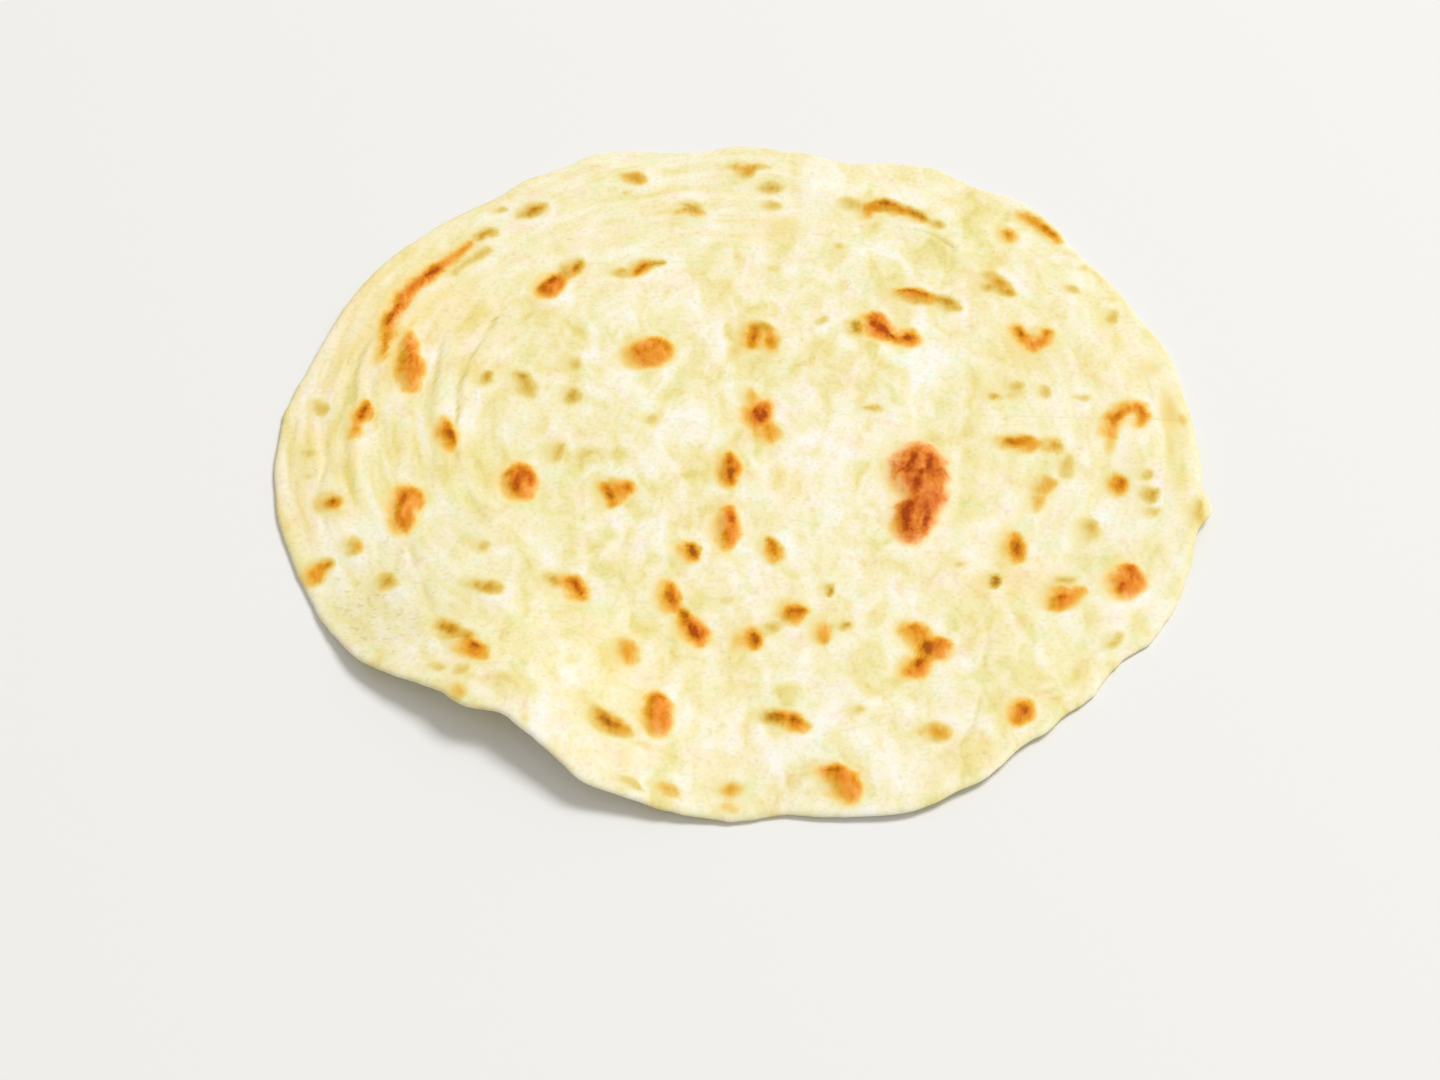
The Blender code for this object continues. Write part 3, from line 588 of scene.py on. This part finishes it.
def shapeRound(mesh):
    spots = np.empty(len(mesh.vertices) * 3)
    mesh.vertices.foreach_get("co", spots)
    flatX, flatY, level = spots.reshape(-1, 3).T
    share = np.hypot(flatX, flatY)
    angle = np.degrees(np.arctan2(flatY, flatX)) % 360
    ragged = 0.22 * grain(angle, angle * 0, 3.1, 31) + 0.16 * grain(angle, angle * 0, 1.3, 32)
    radius = share * (outlineRadius(angle) + ragged * ease((share - 0.9) * 10) - 0.3)
    x = radius * np.cos(np.radians(angle))
    y = radius * np.sin(np.radians(angle))
    x -= 0.5 * (x.min() + x.max())
    y -= 0.5 * (y.min() + y.max())
    out, around = coilPlace(x, y)
    top = level > 0.999

    nearest, core, brown, red, crisp = toastFields(x, y, marks, streaks)
    underNearest, underCore, underBrown, underRed, underCrisp = toastFields(x, y, underMarks(), ())
    char = np.full(x.shape, 9.0)
    for points, width in chars:
        char = np.minimum(char, lineDistance(x + 0.5 * grain(x, y, 2.5, 41), y, points, (width,) * len(points)))
    warmth, pale = zoneFields(x, y)
    # round a blister the dough is paler to its right, partly dried dough and partly a painted highlight on the raised
    # bubble where the light falls, and it stays yellow to its left
    halo = 0.20 * ease(1 - markDistance(x + 1.4, y) / 4) * ease(brown * 4 - 0.8)
    lean = ease(1 - markDistance(x - 3, y) / 5) - ease(1 - markDistance(x + 3, y) / 5)
    # partly painted highlight: the pale ring round each raised blister
    paleRingAndHighlight = ease((nearest - 1.0) / 1.6) * ease((8.5 - nearest) / 5.5) * ease(brown * 4 - 0.8)
    pale = pale + 1.2 * paleRingAndHighlight * (0.5 + lean) * ease(0.5 + 1.2 * grain(x, y, 7, 81)) - 0.25
    crease = furrowDepth(x, y)

    # how clear the layers are: most at the left and top, least in the middle and in front
    facing = 0.12 + 0.88 * hump(turnBetween(around, 180) / 62) + 0.6 * hump(turnBetween(around, 105) / 55)
    facing = facing + 0.45 * hump(turnBetween(around, 0) / 60)
    sideways = ease((out - 45) / 40) * np.clip(facing, 0, 1)
    layered = grain(out, np.radians(around) * 60, 2.6, 51) * 0.5 + grain(out, np.radians(around) * 60, 5.5, 52) * 0.5
    arcs = grain(out * 1.0, np.radians(around) * 8, 2.4, 53)
    bumpy = hump(np.hypot((x + 95) / 30, (y + 62) / 38))
    blister = 0.32 * ease(-nearest / 1.6) * ease(brown * 1.6 - 0.3)
    bigOnes = 0
    for atX, atY, length, width, turn, tone, warm in marks:
        if length > 12:
            bigOnes = bigOnes + 0.055 * length * ease(-0.9 * ovalDistance(x, y, atX, atY, length * 1.25, width * 1.4, turn) / width * 2)
    relief = (
        foldRelief(x, y) * 0.9
        - crease
        + 0.30 * grain(x, y, 26, 61)
        + 0.16 * grain(x, y, 11, 62)
        + 0.07 * grain(x, y, 5, 63)
        + 0.22 * sideways * arcs
        + 0.10 * layered * sideways
        + 0.22 * bumpy * grain(x, y, 3.2, 64)
        + blister
        + bigOnes
    )
    fadeAtRim = 1 - 0.8 * ease((share - 0.92) / 0.06)
    under = 0.5 * (1 + level)
    lift = waveLift(share, angle)
    z = lift + under * thickness(share, angle) + np.where(top, relief * fadeAtRim, 0)
    sideRelief = (relief * fadeAtRim) * ease(level) * ~top
    z += sideRelief
    bottom = level < -0.999
    hollow = 0.14 * (1 + grain(x, y, 9, 71)) + 0.05 * (1 + grain(x, y, 3.5, 72))
    z += np.where(bottom, hollow * ease((0.97 - share) / 0.05) * ease(share / 0.02), 0)
    places = np.stack([x, y, z], axis=1) * mm
    mesh.vertices.foreach_set("co", places.ravel())

    addField(mesh, "toast", np.where(level > -0.2, nearest, underNearest) - 0.5)
    addField(mesh, "brown", np.where(level > -0.2, brown, underBrown))
    addField(mesh, "red", np.where(level > -0.2, red, underRed))
    addField(mesh, "core", np.where(level > -0.2, core, underCore) - 0.2)
    addField(mesh, "crisp", np.where(level > -0.2, crisp, underCrisp))
    addField(mesh, "char", np.where(level > -0.2, char, 9.0))
    addField(mesh, "glow", np.maximum(glowField(x, y), halo) * (level > -0.2))
    addField(mesh, "warmth", warmth)
    addField(mesh, "pale", pale)
    addField(mesh, "crease", crease * (level > 0))
    addField(mesh, "layers", sideways)
    addField(mesh, "bumpy", bumpy)
    addField(mesh, "level", level)
    addField(mesh, "rimShare", share)
    coilSpot = np.stack([out, np.radians(around) * 90, np.zeros(x.shape)], axis=1)
    made = mesh.attributes.new("coilSpot", "FLOAT_VECTOR", "POINT")
    made.data.foreach_set("vector", coilSpot.ravel())


def addField(mesh, name, values):
    made = mesh.attributes.new(name, "FLOAT", "POINT")
    made.data.foreach_set("value", np.clip(values, -6, 9).astype(np.float32))


# ---- the finish of the dough ----

# colours are screen colours: each ramp runs from its first place to its last
crust = {
    "dough": ((0.0, (231, 214, 126)), (0.25, (242, 229, 160)), (0.5, (249, 239, 191)), (0.75, (253, 246, 217)), (1.0, (255, 251, 238))),
    "rosy": (255, 245, 247),
    "green": (245, 255, 246),
    "yolk": (255, 245, 220),
    # painted shade for the greyer dough at the left in front
    "greyShade": (244, 245, 246),
    "fleck": (246, 247, 249),
    # greyish specks, partly painted shade between the bumps
    "speckAndShade": (194, 187, 134),
    # darker yellow of the furrows, partly painted shade
    "furrowTintAndShade": (214, 198, 116),
    "tan": (
        (0.0, (249, 239, 188)), (0.15, (241, 226, 154)), (0.34, (231, 208, 125)), (0.48, (222, 189, 92)),
        (0.6, (210, 167, 60)), (0.75, (196, 146, 38)), (0.88, (178, 122, 20)), (1.0, (148, 94, 8)),
    ),
    "gold": (
        (0.0, (252, 240, 186)), (0.18, (251, 227, 152)), (0.34, (248, 205, 108)), (0.48, (240, 181, 64)),
        (0.6, (232, 164, 34)), (0.75, (220, 143, 14)), (0.88, (198, 118, 4)), (1.0, (166, 88, 0)),
    ),
    "russet": (
        (0.0, (252, 240, 194)), (0.18, (252, 226, 160)), (0.34, (250, 205, 128)), (0.48, (246, 175, 90)),
        (0.6, (242, 154, 56)), (0.75, (227, 129, 27)), (0.88, (204, 100, 10)), (1.0, (176, 74, 0)),
    ),
    "rust": (
        (0.0, (252, 240, 200)), (0.2, (250, 220, 170)), (0.34, (248, 200, 144)), (0.48, (243, 168, 108)),
        (0.6, (234, 138, 74)), (0.75, (214, 108, 44)), (0.88, (190, 84, 20)), (1.0, (158, 60, 6)),
    ),
    # painted shade for the wrinkles in the toasted marks
    "wrinkleShade": (150, 92, 16),
    "roughness": 0.6,
}


def crustMaterial():
    paint = bpy.data.materials.new("toastedDough")
    paint.use_nodes = True
    tree = paint.node_tree
    finish = tree.nodes["Principled BSDF"]
    wire = Wire(tree)
    place = wire.node("ShaderNodeTexCoord", output="Object")

    def field(name):
        return wire.node("ShaderNodeAttribute", {"attribute_name": name}, output="Fac")

    def spotted(vector, size, detail=1.0, rough=0.5, warp=0.0):
        # noise about 0, with blobs of about half the given size in mm
        inputs = {"Vector": vector, "Scale": 1 / (size * mm), "Detail": detail, "Roughness": rough, "Distortion": warp}
        return wire.node("ShaderNodeTexNoise", {}, inputs) - 0.5

    def drawnOut(vector, longer, shift=0.0, unit=1.0):
        # blobs longer along the second axis
        inputs = {"Vector": vector, "Location": (shift, shift, 0), "Scale": (unit, unit / longer, unit)}
        return wire.node("ShaderNodeMapping", {}, inputs)

    def flaked(vector, size):
        # random value about 0 for each flake of the given size in mm
        cell = wire.node("ShaderNodeTexVoronoi", {}, {"Vector": vector, "Scale": 1 / (size * mm)}, output="Color")
        return wire.node("ShaderNodeSeparateColor", {}, {"Color": cell}) - 0.5

    def bent(vector, size, reach):
        # the same places, pushed about by up to half the reach in mm
        inputs = {"Vector": vector, "Scale": 1 / (size * mm), "Detail": 1.0}
        push = wire.node("ShaderNodeTexNoise", {}, inputs, output="Color")
        inputs = {0: push, 1: (reach * mm,) * 3, 2: vector}
        return wire.node("ShaderNodeVectorMath", {"operation": "MULTIPLY_ADD"}, inputs)

    coilSpot = wire.node("ShaderNodeAttribute", {"attribute_name": "coilSpot"}, output="Vector")
    layers = field("layers")
    loose = 1 - layers

    # mottled dough: thin translucent patches and pale flakes, drawn out along the layers
    upright = drawnOut(place, 1.7)
    ringed = drawnOut(coilSpot, 4.0, 0.0, mm)
    patch = spotted(upright, 8.5, 2, 0.5, 0.8) * loose + spotted(ringed, 5.2, 2, 0.5, 0.3) * layers
    flakeFree = flaked(bent(upright, 2.2, 2.6), 3.4)
    flakeRinged = flaked(bent(ringed, 2.2, 1.6), 2.2)
    flake = flakeFree * loose + flakeRinged * layers
    fine = spotted(place, 1.3, 1, 0.5, 0.3)
    pale = field("pale")
    warmth = field("warmth")
    blotch = spotted(upright, 11.0, 2, 0.5, 1.0).ease(-0.03, 0.12) * loose + layers * 0.4
    mottle = 0.495 + patch * 1.78 + flake * 0.18 + blotch * 0.18 + pale * 0.145
    base = mottle.ramp(crust["dough"])
    hue = spotted(drawnOut(place, 1.3, 0.3), 6, 2, 0.6, 0.5) * 2.1
    base = hue.ease(0.0, 0.6).over(base, tint(*crust["rosy"]), "MULTIPLY")
    base = (0 - hue - warmth * 0.08).ease(0.0, 0.6).over(base, tint(*crust["green"]), "MULTIPLY")
    base = warmth.ease(0.0, 1.2).over(base, tint(*crust["yolk"]), "MULTIPLY")
    # painted shade: a greyer tint where the warmth is below 0, most on the dough at the left in front
    base = (0 - warmth).ease(0.2, 1.6).over(base, tint(*crust["greyShade"]), "MULTIPLY")
    base = fine.ease(-0.02, 0.20).over(base, tint(*crust["fleck"]), "MULTIPLY")

    # small greyish specks, most where the dough is bumpy: partly the dough's own specks and partly painted shade
    # between the bumps
    bumpy = field("bumpy")
    speckNoise = spotted(place, 2.0, 1, 0.5, 0.5)
    speckAndShade = (speckNoise + bumpy * 0.05).ease(0.14, 0.30) * (0.20 + bumpy * 0.28)
    base = speckAndShade.over(base, tint(*crust["speckAndShade"]))

    # furrows between the layers: a darker yellow laid in them, partly the thinner dough's own colour and partly painted
    # shade in the creases
    crease = field("crease")
    thread = spotted(drawnOut(coilSpot, 9.0, 0.0, mm), 1.5, 1, 0.5, 0.2)
    line = crease.ease(0.04, 0.40) * (0.66 + thread * 1.0)
    base = line.over(base, tint(*crust["furrowTintAndShade"]))

    # toasting: a golden halo, and a darker core that fills its right side
    ragged = spotted(place, 5.0, 2, 0.6, 0.6)
    crumb = spotted(place, 1.1, 1, 0.6)
    wander = ragged * 3.0 + crumb * 1.2
    brown = field("brown")
    red = field("red")
    depth = ((field("toast") + wander) * field("crisp")).ease(1.15, -1.55)
    core = (field("core") + wander * 0.8).ease(1.7, -1.9)
    char = (field("char") + crumb * 1.2 + ragged * 1.6).ease(1.3, -0.9)
    streaky = spotted(drawnOut(place, 2.2, 0.1), 3.0, 2, 0.6, 0.4)
    heat = brown * (depth * 0.66 + core * 0.34) * (0.80 + ragged * 0.8 + streaky * 1.1) + char * depth * 0.28
    heat = heat + field("glow") * (1.0 + patch * 1.5)
    redness = (red * (0.28 + core * 0.84) - char * 0.22 + ragged * 0.8 - streaky * 0.8).ease(0.05, 0.80)
    browned = (red * (0.5 + depth) + ragged * 0.5).ease(0.0, 0.5).over(heat.ramp(crust["tan"]), heat.ramp(crust["gold"]))
    browned = redness.over(browned, heat.ramp(crust["russet"]))
    browned = (red + ragged * 1.2).ease(0.95, 1.9).over(browned, heat.ramp(crust["rust"]))
    # painted shade: dark olive-brown laid in the wrinkles of the toasted marks
    wrinkleShade = (streaky + crumb * 0.5).ease(0.0, 0.26) * depth * brown.ease(0.3, 0.6) * 0.26
    browned = wrinkleShade.over(browned, tint(*crust["wrinkleShade"]))
    colour = heat.ease(0.0, 0.34).over(base, browned)

    # height for the bump, in metres
    height = patch * 0.00022 + fine * 0.00008 + speckNoise * (0.00004 + bumpy * 0.00016)
    height = height + thread * layers * 0.00008 - line * 0.00012
    height = height + depth * (crumb * 0.00022 + 0.00008)
    bump = wire.node("ShaderNodeBump", {}, {"Height": height, "Distance": 1.0, "Strength": 0.5})
    roughness = 0.58 - patch * 0.35 + depth * 0.06

    tree.links.new(colour.socket, finish.inputs["Base Color"])
    tree.links.new(bump.socket, finish.inputs["Normal"])
    tree.links.new(roughness.socket, finish.inputs["Roughness"])
    finish.inputs["Specular IOR Level"].default_value = 0.10
    return paint


def makeRound():
    skin = unitRound()
    mesh = bpy.data.meshes.new(dough["piece"])
    skin.to_mesh(mesh)
    skin.free()
    shapeRound(mesh)
    mesh.shade_smooth()
    mesh.materials.append(crustMaterial())
    piece = bpy.data.objects.new(dough["piece"], mesh)
    bpy.context.scene.collection.objects.link(piece)
    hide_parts("chapati")
    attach(piece, "root")
    print("round:", len(mesh.vertices), "points,", sum(len(p.vertices) - 2 for p in mesh.polygons), "triangles")


makeCamera()
makeLight()
makeFloor()
print("camera, light and floor are set")
makeRound()
print("the bread is made")
